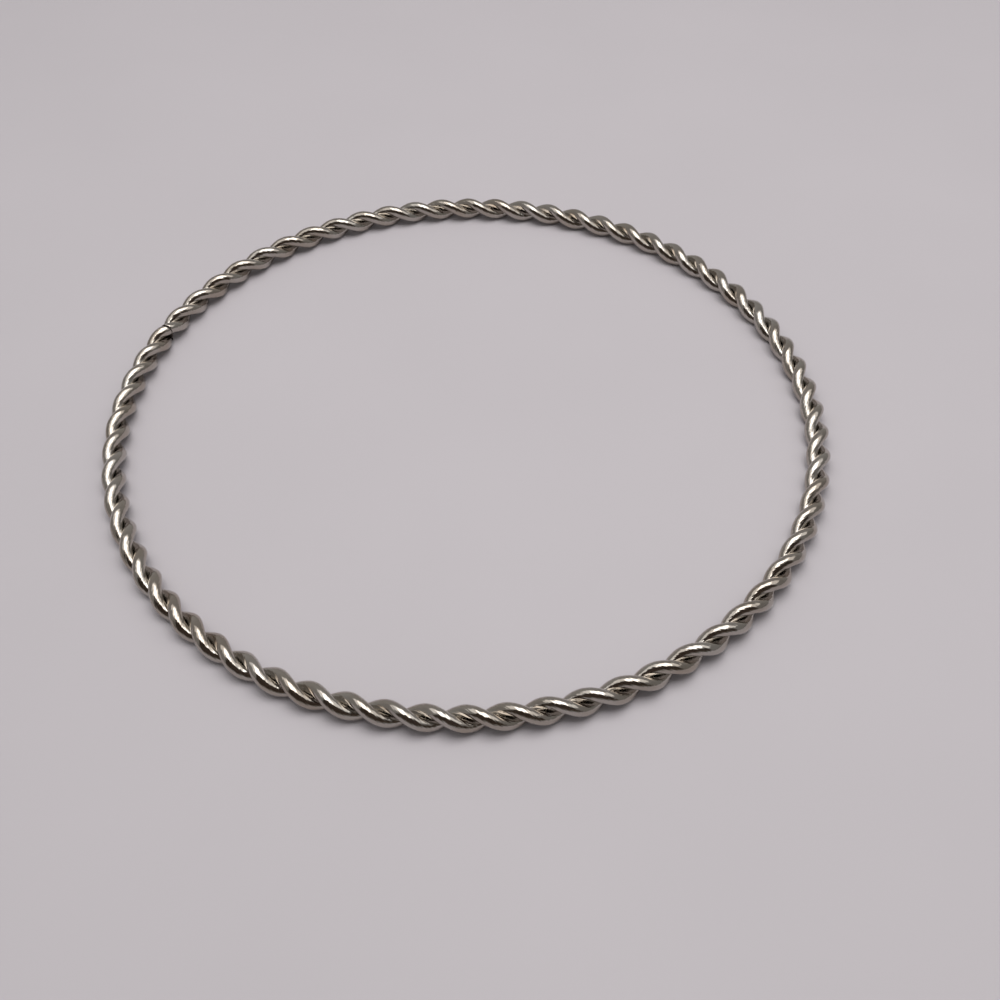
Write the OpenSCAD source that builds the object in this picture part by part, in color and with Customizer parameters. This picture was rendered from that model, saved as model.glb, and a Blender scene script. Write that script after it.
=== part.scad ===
// Twisted wire bangle: two round wires twisted into a rope, bent into a ring and soldered end to end.
// The ring lies flat. The origin is the middle of the ring, at the height of the surface it lies on.

/* [Ring] */
// Diameter of the clear opening, which the hand goes through
opening_d = 65; // [55:0.5:72]
// Where the ends of the rope meet, counted from +X towards +Y
joint_angle = 157; // [0:1:359]

/* [Rope] */
// Diameter of each of the two wires
wire_d = 1.1; // [0.8:0.05:1.2]
// Gap between the two wires in the middle of the rope
wire_gap = 0.04; // [0.04:0.01:0.1]
// Length of the ring along which the wires go once round each other
lay = 6.3; // [5.5:0.02:9]
// Side of the rope that strand a has at the first cut end, counted from +Z outwards
first_turn = 168; // [0:1:359]

/* [Joint] */
// Width of the seam between the two cut ends
seam_w = 0.14; // [0.1:0.02:0.3]
// Gap between the solder and each cut end
solder_gap = 0.02; // [0.01:0.01:0.04]
// Diameter of the solder disc
solder_d = 1.4; // [0.8:0.1:1.5]

/* [Fineness] */
// Sides of each wire
wire_sides = 10; // [10:2:12]
// Sections of each wire in one turn of the twist
sections_per_turn = 11.5; // [10:0.5:12]

/* [Hidden] */

wire_r = wire_d / 2;
// Distance of each wire's middle from the middle of the rope
twist_r = wire_r + wire_gap / 2;
ring_r = opening_d / 2 + twist_r + wire_r;
ring_length = 2 * PI * ring_r;

// The stretch of the ring that the rope fills, in degrees, and the turns of the twist along it
seam_angle = 360 * seam_w / ring_length;
rope_start = joint_angle + seam_angle / 2;
rope_angle = 360 - seam_angle;
turns = ring_length / lay * rope_angle / 360;
sections = round(turns * sections_per_turn);

// A wire leans by the lay angle, so a cut square to the rope shows it longer than it is wide
lean = atan2(2 * PI * twist_r, lay);

// A wire's corners lie where its sides hold as much metal as a round wire
corner_r = wire_r * sqrt(2 * PI / wire_sides / sin(360 / wire_sides));

// Outline of one cut wire, square to the rope: [towards the side the wire is on, across it].
// The outline starts half a side away from that direction, so that a flat faces the other wire.
function cut_point(k) =
    let (
        a = 360 * (k + 0.5) / wire_sides,
        along = corner_r * sin(lean) * sin(a),
        swing = 360 * along / lay,
        side = twist_r + corner_r * cos(a),
        across = corner_r * cos(lean) * sin(a)
    )
    [side * cos(swing) - across * sin(swing), side * sin(swing) + across * cos(swing)];

cut_outline = [for (k = [0 : wire_sides - 1]) cut_point(k)];
facing_side = wire_sides / 2 - 1;

// The ring lies on the outermost corners of the rope
rope_z = max([for (p = cut_outline) norm(p)]);

// A point of the rope's cross-section, [up, outwards], placed at an angle round the ring
function on_ring(p, angle) = [
    (ring_r + p[1]) * cos(angle),
    (ring_r + p[1]) * sin(angle),
    rope_z + p[0]
];

function turned(p, a) = [p[0] * cos(a) - p[1] * sin(a), p[0] * sin(a) + p[1] * cos(a)];

// A patch of wall between two sections. It bulges, except where it faces the other wire, and dips.
function patch(a, b, n, dips) = dips
    ? [[a, a + n, b + n], [a, b + n, b]]
    : [[a, a + n, b], [b, a + n, b + n]];

// One wire of the rope: its cut outline, carried round the ring while it turns about the rope
module strand(turn) {
    n = wire_sides;
    points = [
        for (i = [0 : sections])
            let (share = i / sections, a = turn + 360 * turns * share)
            for (p = cut_outline) on_ring(turned(p, a), rope_start + rope_angle * share)
    ];
    walls = [
        for (i = [0 : sections - 1], k = [0 : n - 1])
            each patch(i * n + k, i * n + (k + 1) % n, n, k == facing_side)
    ];
    first_end = [for (k = [0 : n - 1]) k];
    last_end = [for (k = [n - 1 : -1 : 0]) sections * n + k];
    polyhedron(points, concat(walls, [first_end, last_end]), convexity = 10);
}

module strand_a() {
    color("#b3aea8") strand(first_turn);
}

module strand_b() {
    color("#a39e98") strand(first_turn + 180);
}

// The solder between the cut ends, in the middle of the seam
module solder_joint() {
    color("#6e6862")
        rotate([0, 0, joint_angle])
            translate([ring_r, 0, rope_z])
                rotate([90, 0, 0])
                    cylinder(h = seam_w - 2 * solder_gap, d = solder_d, center = true, $fn = 48);
}

strand_a();
strand_b();
solder_joint();
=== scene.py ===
"""Twisted wire bangle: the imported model, dressed in plated drawn wire and lit on a pale table."""
import math

import bpy
from bpy.props import FloatProperty, FloatVectorProperty, IntProperty, PointerProperty
from mathutils import Matrix, Vector


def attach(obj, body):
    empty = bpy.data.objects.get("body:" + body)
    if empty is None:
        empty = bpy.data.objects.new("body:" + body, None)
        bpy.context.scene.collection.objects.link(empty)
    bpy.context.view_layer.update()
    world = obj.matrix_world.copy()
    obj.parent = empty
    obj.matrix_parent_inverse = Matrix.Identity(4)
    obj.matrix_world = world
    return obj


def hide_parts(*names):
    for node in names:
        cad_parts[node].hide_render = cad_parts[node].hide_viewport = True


bl_info = {
    "name": "Twisted Wire Bangle",
    "version": (1, 0, 0),
    "blender": (4, 5, 0),
    "location": "View3D > Sidebar > Bangle",
    "description": "Dresses a twisted wire bangle in plated wire and sets it on a pale table",
    "category": "Object",
}

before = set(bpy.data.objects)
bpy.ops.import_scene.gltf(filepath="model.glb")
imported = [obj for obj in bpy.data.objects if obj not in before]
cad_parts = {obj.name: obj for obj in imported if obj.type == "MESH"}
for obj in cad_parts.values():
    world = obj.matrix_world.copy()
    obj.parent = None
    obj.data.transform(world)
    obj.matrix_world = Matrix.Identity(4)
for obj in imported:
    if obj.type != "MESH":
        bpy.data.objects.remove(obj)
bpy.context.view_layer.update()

MM = 0.001
# The round wires reach this much further out, mm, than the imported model's ten sides,
# so their ring is drawn smaller by it
INSET = 0.016
# The furrows' pattern on a wire, mm: its length along the wire and its width round it
FURROW_LENGTH = 7.0
FURROW_WIDTH = 0.34
# The photograph is 1000 by 1000 pixels. The ring's middle is at MIDDLE_PX, and the lens is LENS_PX long
HALF_FRAME_PX = 500
MIDDLE_PX = (467.17, 413.39)
LENS_PX = 1141.98
# Half of the table's side, m, so wide that its edge lies near the horizon
TABLE_HALF = 6.0
# The camera's body in the camera's own axes, m: left, right, below and above the lens, and behind it
BODY_LEFT, BODY_RIGHT, BODY_BELOW, BODY_ABOVE, BODY_BEHIND = -0.060, 0.050, -0.065, 0.035, 0.002
# The dark side of the room, m: half its width, its place along Y, and its bottom and top
DARK_HALF, DARK_Y, DARK_BOTTOM, DARK_TOP = 0.45, -0.3, 0.06, 0.55


def srgb(hex_colour):
    """Linear red, green, blue of an sRGB hex colour."""
    values = [int(hex_colour[i:i + 2], 16) / 255 for i in (1, 3, 5)]
    return tuple(v / 12.92 if v <= 0.04045 else ((v + 0.055) / 1.055) ** 2.4 for v in values)


# Sizes and colours

class BangleSizes(bpy.types.PropertyGroup):
    """Sizes of the bangle, in millimetres and degrees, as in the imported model."""
    opening: FloatProperty(
        name="Opening", description="Diameter of the clear opening, mm",
        default=65.0, min=50.0, max=80.0)
    wire: FloatProperty(
        name="Wire", description="Diameter of each wire, mm", default=1.1, min=0.5, max=2.0)
    wire_gap: FloatProperty(
        name="Gap between wires",
        description="Gap that the packed model keeps in the middle of the rope, mm",
        default=0.04, min=0.0, max=0.2)
    lay: FloatProperty(
        name="Lay", description="Length of ring for one turn of the twist, mm",
        default=6.3, min=4.0, max=12.0)
    first_turn: FloatProperty(
        name="First turn", description="Side that strand a has at the first cut end, from up to outwards",
        default=math.radians(168), subtype="ANGLE")
    joint_angle: FloatProperty(
        name="Joint", description="Where the cut ends of the rope meet, from +X towards +Y",
        default=math.radians(157), subtype="ANGLE")
    seam: FloatProperty(
        name="Seam", description="Width of the seam between the cut ends, mm",
        default=0.14, min=0.05, max=0.5)
    rope_middle: FloatProperty(
        name="Rope middle", description="Height of the middle of the rope, mm",
        default=1.1213, min=0.5, max=3.0)
    sides: IntProperty(
        name="Sides", description="Sides of each wire", default=28, min=12, max=48)
    sections_per_turn: IntProperty(
        name="Sections", description="Sections of each wire in one turn", default=44, min=16, max=80)


class BangleColours(bpy.types.PropertyGroup):
    """Colours of the metal and of the stage."""
    plate: FloatVectorProperty(
        name="Plate", description="Bright plate on the wire", subtype="COLOR",
        default=srgb("#b4aea7"))
    plate_warm: FloatVectorProperty(
        name="Warm plate", description="Where the plate is thin and the brass warms it", subtype="COLOR",
        default=srgb("#a89e93"))
    # Painted light: brighter, more neutral plate on the sides of the wires that face each other, which lifts
    # the shade deep in the groove
    painted_groove_light: FloatVectorProperty(
        name="Groove", description="Plate deep between the wires, which handling hasn't dulled",
        subtype="COLOR", default=srgb("#bcb8b2"))
    solder: FloatVectorProperty(
        name="Solder", description="Dull solder in the seam", subtype="COLOR",
        default=srgb("#5b5450"))
    table: FloatVectorProperty(
        name="Table", description="Pale table under the bangle", subtype="COLOR",
        default=srgb("#c0bbc0"))


class BangleStage(bpy.types.PropertyGroup):
    """Camera and light."""
    camera_distance: FloatProperty(
        name="Camera distance", description="From the camera to the middle of the ring, mm", default=111.48)
    camera_elevation: FloatProperty(
        name="Camera elevation", description="Height of the camera's line above the table",
        default=math.radians(45.099), subtype="ANGLE")
    camera_roll: FloatProperty(
        name="Camera roll", description="How far the camera is turned about its line",
        default=math.radians(-1.925), subtype="ANGLE")
    lens: FloatProperty(
        name="Lens", description="Focal length on a 36 mm sensor, mm", default=41.11)
    aim_right: FloatProperty(
        name="Aim right", description="Where the ring's middle lands, as a slope to the right",
        default=(MIDDLE_PX[0] - HALF_FRAME_PX) / LENS_PX)
    aim_up: FloatProperty(
        name="Aim up", description="Where the ring's middle lands, as a slope upwards",
        default=(HALF_FRAME_PX - MIDDLE_PX[1]) / LENS_PX)
    softbox: FloatProperty(
        name="Softbox brightness", description="Radiance of the softbox overhead", default=2.6)
    softbox_place: FloatVectorProperty(
        name="Softbox place", description="Middle of the softbox, m", subtype="XYZ",
        default=(0.02, 0.02, 0.3))
    softbox_size: FloatVectorProperty(
        name="Softbox size",
        description="Sides of the softbox, m, across the picture and along the camera's line",
        size=2, default=(0.24, 0.22))
    panel: FloatProperty(
        name="Panel brightness", description="Radiance of the wide panel over the softbox",
        default=0.9)
    panel_place: FloatVectorProperty(
        name="Panel place", description="Middle of the wide panel, m", subtype="XYZ",
        default=(0.06, 0.05, 0.31))
    panel_size: FloatVectorProperty(
        name="Panel size",
        description="Sides of the wide panel, m, across the picture and along the camera's line",
        size=2, default=(0.68, 0.3))
    room_left: FloatProperty(
        name="Room, left", description="Radiance of the pale wall on the left", default=0.31)
    room_right: FloatProperty(
        name="Room, right", description="Radiance of the room on the right", default=0.26)
    room_back: FloatProperty(
        name="Room, back", description="Extra radiance of the wall behind the ring", default=0.1)


# Helpers

def sizes():
    return bpy.context.scene.bangle_sizes


def colours():
    return bpy.context.scene.bangle_colours


def stage():
    return bpy.context.scene.bangle_stage


def add_node(tree, kind, settings=None, **inputs):
    """Adds a node with its settings. An input is named, or numbered as i0, and takes a value or an output."""
    node = tree.nodes.new(kind)
    for key, value in (settings or {}).items():
        setattr(node, key, value)
    for key, value in inputs.items():
        numbered = key[0] == "i" and key[1:].isdigit()
        socket = node.inputs[int(key[1:]) if numbered else key.replace("_", " ")]
        if isinstance(value, bpy.types.NodeSocket):
            tree.links.new(value, socket)
        else:
            socket.default_value = value
    return node


def colour4(rgb):
    return (rgb[0], rgb[1], rgb[2], 1.0)


def new_material(name):
    material = bpy.data.materials.new(name)
    material.use_nodes = True
    material.node_tree.nodes.clear()
    return material


def add_object(name, data):
    item = bpy.data.objects.new(name, data)
    bpy.context.scene.collection.objects.link(item)
    return item


# Metals

def plated_wire():
    """Bright nickel plate on drawn, twisted brass wire: a mirror with faint drawing marks, and painted light
    deep in the groove.
    """
    c = colours()
    material = new_material("bright_nickel_plate_on_drawn_wire")
    tree = material.node_tree
    place = add_node(tree, "ShaderNodeTexCoord").outputs["Object"]
    painted_groove_light = add_node(tree, "ShaderNodeAttribute", {"attribute_name": "painted_groove_light"}).outputs["Fac"]
    along = add_node(tree, "ShaderNodeAttribute", {"attribute_name": "along_wire"}).outputs["Vector"]

    # Shallow furrows that drawing and twisting leave along the wire, which draw the highlights out in streaks
    marks = add_node(tree, "ShaderNodeTexNoise", {"noise_dimensions": "3D"},
                     Vector=along, Scale=1.0, Detail=2.0, Roughness=0.6)
    # Plating unevenness of about 0.45 mm, which breaks the edges of the highlights
    uneven = add_node(tree, "ShaderNodeTexNoise", {"noise_dimensions": "3D"},
                      Vector=place, Scale=1 / (0.45 * MM), Detail=2.0, Roughness=0.5)
    # Slow change of the plate's warmth, over about 3 mm
    warmth = add_node(tree, "ShaderNodeTexNoise", {"noise_dimensions": "3D"},
                      Vector=place, Scale=1 / (3.0 * MM), Detail=2.0, Roughness=0.5)
    warm = add_node(tree, "ShaderNodeMapRange", None, Value=warmth.outputs["Fac"], i1=0.35, i2=0.65)
    face = add_node(tree, "ShaderNodeMix", {"data_type": "RGBA"}, i0=warm.outputs["Result"],
                    i6=colour4(c.plate), i7=colour4(c.plate_warm))
    # The wires mirror each other deep in the groove, in fine strips that a duller plate would lose. Painted
    # light: there, on the sides of the wires that face each other, the plate is brighter and more neutral
    # than on the faces, which lifts the shade and the warm cast between the wires
    groove_light_share = add_node(tree, "ShaderNodeMapRange", {"interpolation_type": "SMOOTHSTEP"},
                    Value=painted_groove_light, i1=0.5, i2=1.0, i3=0.0, i4=0.8)
    tone = add_node(tree, "ShaderNodeMix", {"data_type": "RGBA"}, i0=groove_light_share.outputs["Result"],
                    i6=face.outputs[2], i7=colour4(c.painted_groove_light))
    gloss = add_node(tree, "ShaderNodeMapRange", None, Value=uneven.outputs["Fac"],
                     i1=0.3, i2=0.7, i3=0.08, i4=0.15)
    both = add_node(tree, "ShaderNodeMix", {"data_type": "FLOAT"}, i0=0.8,
                    i2=uneven.outputs["Fac"], i3=marks.outputs["Fac"])
    bump = add_node(tree, "ShaderNodeBump", None, Strength=0.8, Distance=0.07 * MM,
                    Height=both.outputs[0])
    shader = add_node(tree, "ShaderNodeBsdfPrincipled", None, Base_Color=tone.outputs[2], Metallic=1.0,
                      Roughness=gloss.outputs["Result"], Normal=bump.outputs["Normal"])
    add_node(tree, "ShaderNodeOutputMaterial", None, Surface=shader.outputs["BSDF"])
    return material


def seam_solder():
    """Soft solder, cooled dull and darkened in the seam: a satin grey with a fine grain."""
    material = new_material("dull_soft_solder")
    tree = material.node_tree
    place = add_node(tree, "ShaderNodeTexCoord").outputs["Object"]
    grain = add_node(tree, "ShaderNodeTexNoise", None, Vector=place, Scale=1 / (0.15 * MM), Detail=3.0)
    base = colours().solder
    tone = add_node(tree, "ShaderNodeMix", {"data_type": "RGBA"}, i0=grain.outputs["Fac"],
                    i6=colour4([v * 0.7 for v in base]), i7=colour4([min(1.0, v * 1.3) for v in base]))
    bump = add_node(tree, "ShaderNodeBump", None, Strength=0.3, Distance=0.01 * MM,
                    Height=grain.outputs["Fac"])
    shader = add_node(tree, "ShaderNodeBsdfPrincipled", None, Base_Color=tone.outputs[2], Metallic=1.0,
                      Roughness=0.45, Normal=bump.outputs["Normal"])
    add_node(tree, "ShaderNodeOutputMaterial", None, Surface=shader.outputs["BSDF"])
    return material


def table_laminate():
    """Matt pale laminate: nearly even, with a very faint mottle."""
    material = new_material("matt_pale_laminate")
    tree = material.node_tree
    place = add_node(tree, "ShaderNodeTexCoord").outputs["Object"]
    mottle = add_node(tree, "ShaderNodeTexNoise", None, Vector=place, Scale=1 / (25 * MM), Detail=2.0)
    base = colours().table
    tone = add_node(tree, "ShaderNodeMix", {"data_type": "RGBA"}, i0=mottle.outputs["Fac"],
                    i6=colour4([v * 0.97 for v in base]), i7=colour4([min(1.0, v * 1.03) for v in base]))
    shader = add_node(tree, "ShaderNodeBsdfPrincipled", None,
                      Base_Color=tone.outputs[2], Roughness=0.6)
    add_node(tree, "ShaderNodeOutputMaterial", None, Surface=shader.outputs["BSDF"])
    return material


# The twisted wires

def rope_shape():
    """The rope's derived sizes, in millimetres and radians."""
    s = sizes()
    # Drawn wires touch, as real ones do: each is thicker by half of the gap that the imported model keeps
    wire_r = s.wire / 2 + s.wire_gap / 4
    twist_r = wire_r
    ring_r = s.opening / 2 + twist_r + wire_r
    length = math.tau * ring_r
    seam_angle = math.tau * s.seam / length
    return {
        "wire_r": wire_r,
        "twist_r": twist_r,
        "ring_r": ring_r - INSET,
        "start": s.joint_angle + seam_angle / 2,
        "sweep": math.tau - seam_angle,
        "turns": (length - s.seam) / s.lay,
        "lean": math.atan2(math.tau * twist_r, s.lay),
    }


def cut_outline(rope):
    """One round wire cut square to the rope: towards the wire's side, across it, and the angle round it."""
    s = sizes()
    outline = []
    for k in range(s.sides):
        a = math.tau * (k + 0.5) / s.sides
        swing = math.tau * rope["wire_r"] * math.sin(rope["lean"]) * math.sin(a) / s.lay
        side = rope["twist_r"] + rope["wire_r"] * math.cos(a)
        across = rope["wire_r"] * math.cos(rope["lean"]) * math.sin(a)
        outline.append((side * math.cos(swing) - across * math.sin(swing),
                        side * math.sin(swing) + across * math.cos(swing), a))
    return outline


def strand_mesh(name, turn):
    """One wire of the rope as a closed smooth mesh, with where each point lies along and round the wire."""
    s = sizes()
    rope = rope_shape()
    outline = cut_outline(rope)
    n = len(outline)
    sections = round(rope["turns"] * s.sections_per_turn)
    wire_length = rope["turns"] * s.lay / math.cos(rope["lean"])
    points, along, painted_groove_light = [], [], []
    for i in range(sections + 1):
        share = i / sections
        angle = rope["start"] + rope["sweep"] * share
        a = turn + math.tau * rope["turns"] * share
        for side, across, around in outline:
            up = side * math.cos(a) - across * math.sin(a)
            out = side * math.sin(a) + across * math.cos(a)
            r = rope["ring_r"] + out
            points.append((r * math.cos(angle) * MM, r * math.sin(angle) * MM,
                           (s.rope_middle + up) * MM))
            along.append((wire_length * share / FURROW_LENGTH,
                          rope["wire_r"] * math.cos(around) / FURROW_WIDTH,
                          rope["wire_r"] * math.sin(around) / FURROW_WIDTH))
            # How far each point faces the other wire: where the groove's painted light goes
            painted_groove_light.append((1 - math.cos(around)) / 2)
    faces = [(i * n + (k + 1) % n, (i + 1) * n + (k + 1) % n, (i + 1) * n + k, i * n + k)
             for i in range(sections) for k in range(n)]
    faces.append(tuple(range(n))[::-1])
    faces.append(tuple(sections * n + k for k in range(n)))
    mesh = bpy.data.meshes.new(name)
    mesh.from_pydata(points, [], faces)
    mesh.update()
    mesh.polygons.foreach_set("use_smooth", [True] * (len(faces) - 2) + [False] * 2)
    mesh.attributes.new("along_wire", "FLOAT_VECTOR", "POINT").data.foreach_set(
        "vector", [v for row in along for v in row])
    mesh.attributes.new("painted_groove_light", "FLOAT", "POINT").data.foreach_set("value", painted_groove_light)
    mesh.validate()
    return mesh


class BANGLE_OT_twist_strands(bpy.types.Operator):
    """Builds the two smooth plated wires in place of the faceted strands"""
    bl_idname = "bangle.twist_strands"
    bl_label = "Twist strands"

    def execute(self, context):
        metal = plated_wire()
        first = sizes().first_turn
        for node, turn in (("strand_a", first), ("strand_b", first + math.pi)):
            mesh = strand_mesh("drawn_" + node, turn)
            mesh.materials.append(metal)
            wire = add_object("drawn_" + node, mesh)
            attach(wire, "root")
            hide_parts(node)
        return {"FINISHED"}


class BANGLE_OT_finish_solder(bpy.types.Operator):
    """Gives the solder between the cut ends its dull, darkened finish"""
    bl_idname = "bangle.finish_solder"
    bl_label = "Finish solder"

    def execute(self, context):
        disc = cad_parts["solder_joint"]
        disc.data.materials.clear()
        disc.data.materials.append(seam_solder())
        return {"FINISHED"}


# The stage

def add_camera():
    """The photograph's camera: it looks down at the ring, a little off the middle of the frame."""
    g = stage()
    e = g.camera_elevation
    forward = Vector((0, math.cos(e), -math.sin(e)))
    right = Vector((1, 0, 0))
    up = right.cross(forward)
    roll = g.camera_roll
    right, up = (right * math.cos(roll) + up * math.sin(roll),
                 up * math.cos(roll) - right * math.sin(roll))
    # Turn the camera so that the line to the ring's middle takes its place in the frame
    aim = Vector((g.aim_right, g.aim_up, 1)).normalized()
    turn = Vector((0, 0, 1)).rotation_difference(aim).to_matrix()
    axes = Matrix((right, up, forward))
    aimed_right, aimed_up, aimed_forward = (turn @ axes).row
    data = bpy.data.cameras.new("camera")
    data.sensor_width = 36
    data.lens = g.lens
    data.clip_start = 0.001
    data.clip_end = 20
    camera = add_object("camera", data)
    middle = Vector((0, 0, sizes().rope_middle * MM))
    place = middle - forward * g.camera_distance * MM
    basis = Matrix((aimed_right, aimed_up, -aimed_forward)).transposed().to_4x4()
    camera.matrix_world = Matrix.Translation(place) @ basis
    bpy.context.scene.camera = camera


def add_softbox(name, place, size, radiance):
    """A rectangular soft light at place, facing straight down."""
    data = bpy.data.lights.new(name, "AREA")
    data.shape = "RECTANGLE"
    data.size, data.size_y = size
    # An area light's power is its radiance times pi and its area
    data.energy = radiance * math.pi * size[0] * size[1]
    data.color = (1.0, 0.987, 0.97)
    item = add_object(name, data)
    item.location = place
    item.visible_camera = False


def add_card(name, corners):
    """A matt, very dark brown card that shows only in the metal."""
    mesh = bpy.data.meshes.new(name)
    mesh.from_pydata([tuple(c) for c in corners], [], [(0, 1, 2, 3)])
    material = new_material("matt_black_card")
    shader = add_node(material.node_tree, "ShaderNodeBsdfPrincipled", None,
                      Base_Color=(0.12, 0.09, 0.068, 1), Roughness=0.9)
    add_node(material.node_tree, "ShaderNodeOutputMaterial", None, Surface=shader.outputs["BSDF"])
    mesh.materials.append(material)
    card = add_object(name, mesh)
    card.visible_camera = False
    card.visible_diffuse = False
    card.visible_shadow = False


def set_world():
    """A dim room whose walls are lighter on the left and behind the ring."""
    g = stage()
    world = bpy.data.worlds.new("studio_room")
    bpy.context.scene.world = world
    world.use_nodes = True
    tree = world.node_tree
    tree.nodes.clear()
    direction = add_node(tree, "ShaderNodeTexCoord").outputs["Generated"]
    parts = add_node(tree, "ShaderNodeSeparateXYZ", None, Vector=direction)
    side = add_node(tree, "ShaderNodeMapRange", {"interpolation_type": "SMOOTHSTEP"},
                    Value=parts.outputs["X"], i1=-0.9, i2=0.2, i3=g.room_left, i4=g.room_right)
    back = add_node(tree, "ShaderNodeMapRange", {"interpolation_type": "SMOOTHSTEP"},
                    Value=parts.outputs["Y"], i1=0.2, i2=0.9, i3=0.0, i4=g.room_back)
    both = add_node(tree, "ShaderNodeMath", {"operation": "ADD"}, i0=side.outputs["Result"],
                    i1=back.outputs["Result"])
    light = add_node(tree, "ShaderNodeBackground", None, Color=(1.0, 0.98, 0.96, 1), Strength=both.outputs[0])
    add_node(tree, "ShaderNodeOutputWorld", None, Surface=light.outputs["Background"])


class BANGLE_OT_set_stage(bpy.types.Operator):
    """Adds the pale table, the soft studio light and the photograph's camera"""
    bl_idname = "bangle.set_stage"
    bl_label = "Set stage"

    def execute(self, context):
        w = TABLE_HALF
        mesh = bpy.data.meshes.new("table")
        mesh.from_pydata([(-w, -w, 0), (w, -w, 0), (w, w, 0), (-w, w, 0)], [], [(0, 1, 2, 3)])
        mesh.materials.append(table_laminate())
        table = add_object("table", mesh)
        g = stage()
        # The bright softbox gives the highlights their middles, the wide panel their long tails
        add_softbox("softbox_overhead", g.softbox_place, g.softbox_size, g.softbox)
        add_softbox("wide_panel", g.panel_place, g.panel_size, g.panel)
        set_world()
        add_camera()
        # The camera's body shows dark in the front of the ring
        axes = context.scene.camera.matrix_world
        add_card("camera_body", [axes @ Vector((across, up, BODY_BEHIND)) for across, up in (
            (BODY_LEFT, BODY_BELOW), (BODY_RIGHT, BODY_BELOW),
            (BODY_RIGHT, BODY_ABOVE), (BODY_LEFT, BODY_ABOVE))])
        # The dark side of the room behind the camera
        add_card("dark_side", [
            (-DARK_HALF, DARK_Y, DARK_BOTTOM), (DARK_HALF, DARK_Y, DARK_BOTTOM),
            (DARK_HALF, DARK_Y, DARK_TOP), (-DARK_HALF, DARK_Y, DARK_TOP)])
        context.scene.view_settings.view_transform = "Standard"
        return {"FINISHED"}


class BANGLE_PT_panel(bpy.types.Panel):
    """Sidebar panel that lists the bangle's steps"""
    bl_idname = "BANGLE_PT_panel"
    bl_label = "Twisted wire bangle"
    bl_space_type = "VIEW_3D"
    bl_region_type = "UI"
    bl_category = "Bangle"

    def draw(self, context):
        layout = self.layout
        for step in STEPS:
            layout.operator(step.bl_idname)
        for group in (sizes(), colours(), stage()):
            box = layout.box()
            for name in group.bl_rna.properties.keys():
                if name not in {"rna_type", "name"}:
                    box.prop(group, name)


GROUPS = (BangleSizes, BangleColours, BangleStage)
STEPS = (BANGLE_OT_twist_strands, BANGLE_OT_finish_solder, BANGLE_OT_set_stage)


def register():
    for item in GROUPS + STEPS + (BANGLE_PT_panel,):
        bpy.utils.register_class(item)
    bpy.types.Scene.bangle_sizes = PointerProperty(type=BangleSizes)
    bpy.types.Scene.bangle_colours = PointerProperty(type=BangleColours)
    bpy.types.Scene.bangle_stage = PointerProperty(type=BangleStage)


def unregister():
    del bpy.types.Scene.bangle_stage
    del bpy.types.Scene.bangle_colours
    del bpy.types.Scene.bangle_sizes
    for item in reversed(GROUPS + STEPS + (BANGLE_PT_panel,)):
        bpy.utils.unregister_class(item)


def main():
    register()
    bpy.ops.bangle.twist_strands()
    bpy.ops.bangle.finish_solder()
    bpy.ops.bangle.set_stage()


if __name__ == "__main__":
    main()
